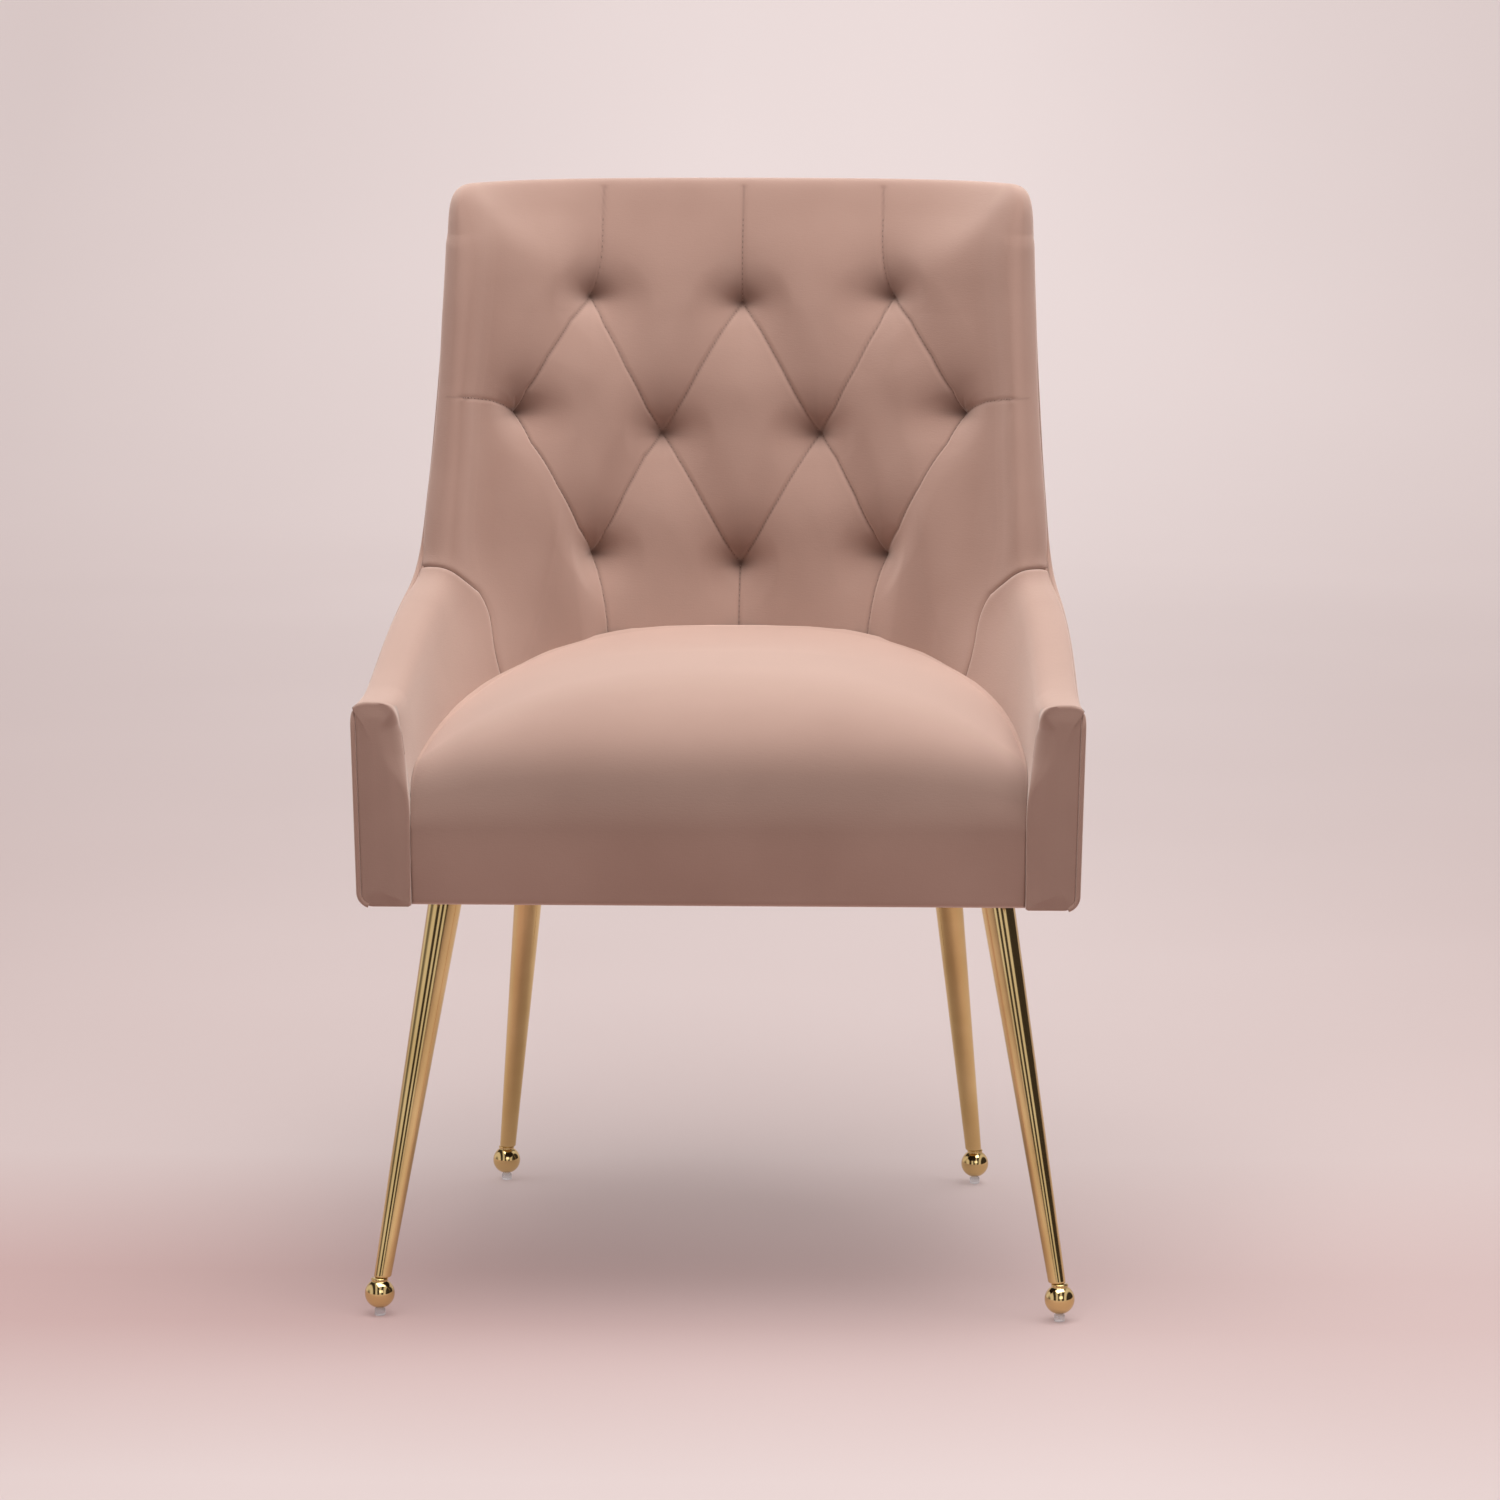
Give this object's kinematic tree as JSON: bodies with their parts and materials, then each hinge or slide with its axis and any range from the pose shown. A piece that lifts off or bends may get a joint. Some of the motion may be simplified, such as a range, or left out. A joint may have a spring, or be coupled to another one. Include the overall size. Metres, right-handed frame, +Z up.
{
  "type": "upholstered side chair",
  "caption": "Low-armed side chair: a tufted wrap-around velvet shell with a crowned sprung seat, on tapered metal legs with ball feet.",
  "frame": {"origin": "on the floor, in the middle of the chair's width and depth", "axes": "+Z up, -Y is where the sitter faces, +X to the right as seen from in front"},
  "size_m": [0.5736, 0.5996, 0.88],
  "materials": {
    "velvet": "short-pile velvet, dusty pink",
    "wood": "sawn beech and plywood, unfinished",
    "foam": "open-cell foam",
    "webbing": "woven elastic webbing",
    "dust_cloth": "non-woven black cloth",
    "gold": "polished gold plating",
    "steel": "bright zinc-plated steel",
    "clear_plastic": "clear nylon"
  },
  "bodies": {
    "root": {"inside_arm_cover_left": "velvet", "inside_arm_foam_left": "foam", "inside_arm_cover_right": "velvet", "inside_arm_foam_right": "foam", "inside_back_cover": "velvet", "inside_back_foam": "foam", "outside_arm_panel_left": "velvet", "outside_arm_panel_right": "velvet", "outside_back_panel": "velvet", "arm_frame_left": "wood", "back_post_left": "wood", "seat_rail_left": "wood", "arm_frame_right": "wood", "back_post_right": "wood", "seat_rail_right": "wood", "crest_rail": "wood", "lumbar_rail": "wood", "seat_rail_rear": "wood", "seat_rail_front": "wood", "corner_block_front_left": "wood", "corner_block_rear_left": "wood", "back_webbing_left": "webbing", "corner_block_front_right": "wood", "corner_block_rear_right": "wood", "back_webbing_right": "webbing", "seat_spring_left_1": "steel", "seat_spring_left_2": "steel", "seat_spring_right_1": "steel", "seat_spring_right_2": "steel", "edge_piping_left": "velvet", "edge_piping_right": "velvet", "arm_facing_left": "velvet", "arm_facing_right": "velvet", "seat_cover": "velvet", "seat_foam": "foam", "dust_cover": "dust_cloth", "leg_front_left": "gold", "leg_plate_front_left": "steel", "plate_screw_front_left_1": "steel", "plate_screw_front_left_2": "steel", "ball_foot_front_left": "gold", "glide_front_left": "clear_plastic", "leg_rear_left": "gold", "leg_plate_rear_left": "steel", "plate_screw_rear_left_1": "steel", "plate_screw_rear_left_2": "steel", "ball_foot_rear_left": "gold", "glide_rear_left": "clear_plastic", "leg_front_right": "gold", "leg_plate_front_right": "steel", "plate_screw_front_right_1": "steel", "plate_screw_front_right_2": "steel", "ball_foot_front_right": "gold", "glide_front_right": "clear_plastic", "leg_rear_right": "gold", "leg_plate_rear_right": "steel", "plate_screw_rear_right_1": "steel", "plate_screw_rear_right_2": "steel", "ball_foot_rear_right": "gold", "glide_rear_right": "clear_plastic"}
  },
  "joints": []
}
